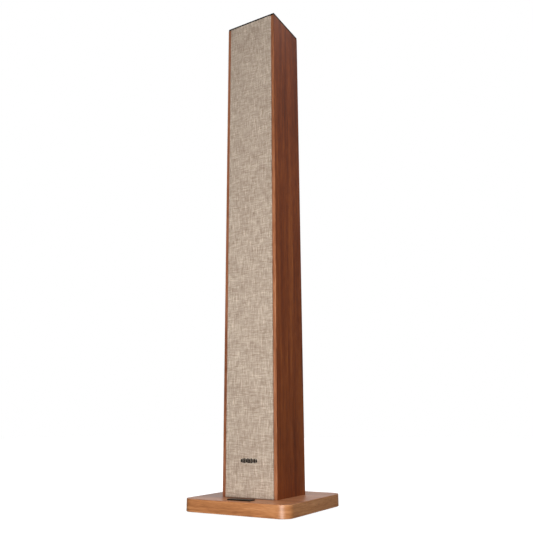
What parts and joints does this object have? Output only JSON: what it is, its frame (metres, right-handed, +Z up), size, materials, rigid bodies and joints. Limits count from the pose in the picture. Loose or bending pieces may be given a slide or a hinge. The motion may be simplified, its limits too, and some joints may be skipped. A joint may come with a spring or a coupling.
{
  "type": "floorstanding speaker",
  "caption": "Slim square tower speaker on a rounded plinth, with wood side panels, a cloth front grille, a black control top and a rear connector plate.",
  "frame": {"origin": "on the floor, under the centre of the plinth", "axes": "+Z up, the grille faces -Y, +X to the right of someone looking at the front"},
  "size_m": [0.215, 0.215, 1],
  "materials": {
    "black_gloss": "gloss black, moulded",
    "black_satin": "satin black, fine moulded texture",
    "black_steel": "black coated steel",
    "brass": "machined brass",
    "circuit_board": "green solder mask",
    "cloth": "coarse beige linen-look speaker cloth",
    "copper": "enamelled copper",
    "damper_cloth": "resin dipped cloth",
    "ferrite": "sintered ferrite and plated steel",
    "mark_metal": "satin dark bronze",
    "mdf": "bare fibreboard",
    "paper": "black pressed paper",
    "plated_steel": "zinc plated",
    "rubber": "matte rubber",
    "silk": "coated silk",
    "smoked_window": "dark gloss acrylic",
    "veneer": "satin walnut-red veneer with a fine straight grain",
    "wire_sheath": "soft sheath"
  },
  "bodies": {
    "cabinet": {"amp_board": "circuit_board", "amp_plate": "black_steel", "amp_plate_screws": "black_steel", "amp_standoffs": "plated_steel", "aux_jack": "black_satin", "base_board": "veneer", "base_feet": "rubber", "base_inserts": "brass", "base_plate": "black_satin", "base_screws": "plated_steel", "bottom_panel": "mdf", "control_board": "circuit_board", "control_spacers": "black_satin", "control_switches": "black_satin", "display_module": "black_satin", "display_window": "smoked_window", "driver_screws": "black_steel", "front_baffle": "black_satin", "grille_sockets": "rubber", "mains_inlet": "black_satin", "port_tube": "black_satin", "rear_panel": "black_satin", "rocker_bezel": "black_satin", "side_panel_left": "veneer", "side_panel_right": "veneer", "speaker_wires": "wire_sheath", "top_board": "mdf", "top_panel": "black_gloss", "transformer": "ferrite", "tweeter_faceplate": "black_satin", "tweeter_motor": "ferrite", "tweeter_surround": "silk", "usb_port": "plated_steel", "window_braces": "mdf", "woofer_basket_lower": "black_steel", "woofer_basket_upper": "black_steel", "woofer_motor_lower": "ferrite", "woofer_motor_upper": "ferrite", "woofer_spider_lower": "damper_cloth", "woofer_spider_upper": "damper_cloth", "woofer_surround_lower": "rubber", "woofer_surround_upper": "rubber"},
    "grille": {"grille_frame": "black_satin", "grille_cloth": "cloth", "grille_pegs": "black_satin", "grille_mark": "mark_metal"},
    "cone_upper": {"woofer_cone_upper": "paper", "woofer_dust_cap_upper": "paper", "woofer_voice_coil_upper": "copper"},
    "cone_lower": {"woofer_cone_lower": "paper", "woofer_dust_cap_lower": "paper", "woofer_voice_coil_lower": "copper"},
    "tweeter_diaphragm": {"tweeter_dome": "silk"},
    "rocker": {"power_rocker": "black_gloss"},
    "button_next": {"button_next": "black_gloss"},
    "button_power": {"button_power": "black_gloss"},
    "button_previous": {"button_previous": "black_gloss"},
    "button_source": {"button_source": "black_gloss"},
    "button_volume_down": {"button_volume_down": "black_gloss"},
    "button_volume_up": {"button_volume_up": "black_gloss"}
  },
  "joints": [
    {"name": "grille_pull", "type": "slide", "parent": "cabinet", "child": "grille", "axis": [0, -1, 0], "range_m": [0, 0.017]},
    {"name": "cone_upper_travel", "type": "slide", "parent": "cabinet", "child": "cone_upper", "axis": [0, -1, 0], "range_m": [-0.002, 0.002], "stiffness_N_per_m": 1000, "deforming": ["woofer_surround_upper", "woofer_spider_upper"]},
    {"name": "cone_lower_travel", "type": "slide", "parent": "cabinet", "child": "cone_lower", "axis": [0, -1, 0], "range_m": [-0.002, 0.002], "stiffness_N_per_m": 1000, "deforming": ["woofer_surround_lower", "woofer_spider_lower"]},
    {"name": "tweeter_travel", "type": "slide", "parent": "cabinet", "child": "tweeter_diaphragm", "axis": [0, -1, 0], "range_m": [-0.0003, 0.0003], "stiffness_N_per_m": 2000, "deforming": ["tweeter_surround"]},
    {"name": "rocker_tip", "type": "hinge", "parent": "cabinet", "child": "rocker", "pos_m": [0.022, 0.0535, 0.088], "axis": [1, 0, 0], "range_deg": [-16, 0]},
    {"name": "next_press", "type": "slide", "parent": "cabinet", "child": "button_next", "axis": [0, 0, -1], "range_m": [0, 0.0006], "stiffness_N_per_m": 1500},
    {"name": "power_press", "type": "slide", "parent": "cabinet", "child": "button_power", "axis": [0, 0, -1], "range_m": [0, 0.0006], "stiffness_N_per_m": 1500},
    {"name": "previous_press", "type": "slide", "parent": "cabinet", "child": "button_previous", "axis": [0, 0, -1], "range_m": [0, 0.0006], "stiffness_N_per_m": 1500},
    {"name": "source_press", "type": "slide", "parent": "cabinet", "child": "button_source", "axis": [0, 0, -1], "range_m": [0, 0.0006], "stiffness_N_per_m": 1500},
    {"name": "volume_down_press", "type": "slide", "parent": "cabinet", "child": "button_volume_down", "axis": [0, 0, -1], "range_m": [0, 0.0006], "stiffness_N_per_m": 1500},
    {"name": "volume_up_press", "type": "slide", "parent": "cabinet", "child": "button_volume_up", "axis": [0, 0, -1], "range_m": [0, 0.0006], "stiffness_N_per_m": 1500}
  ]
}
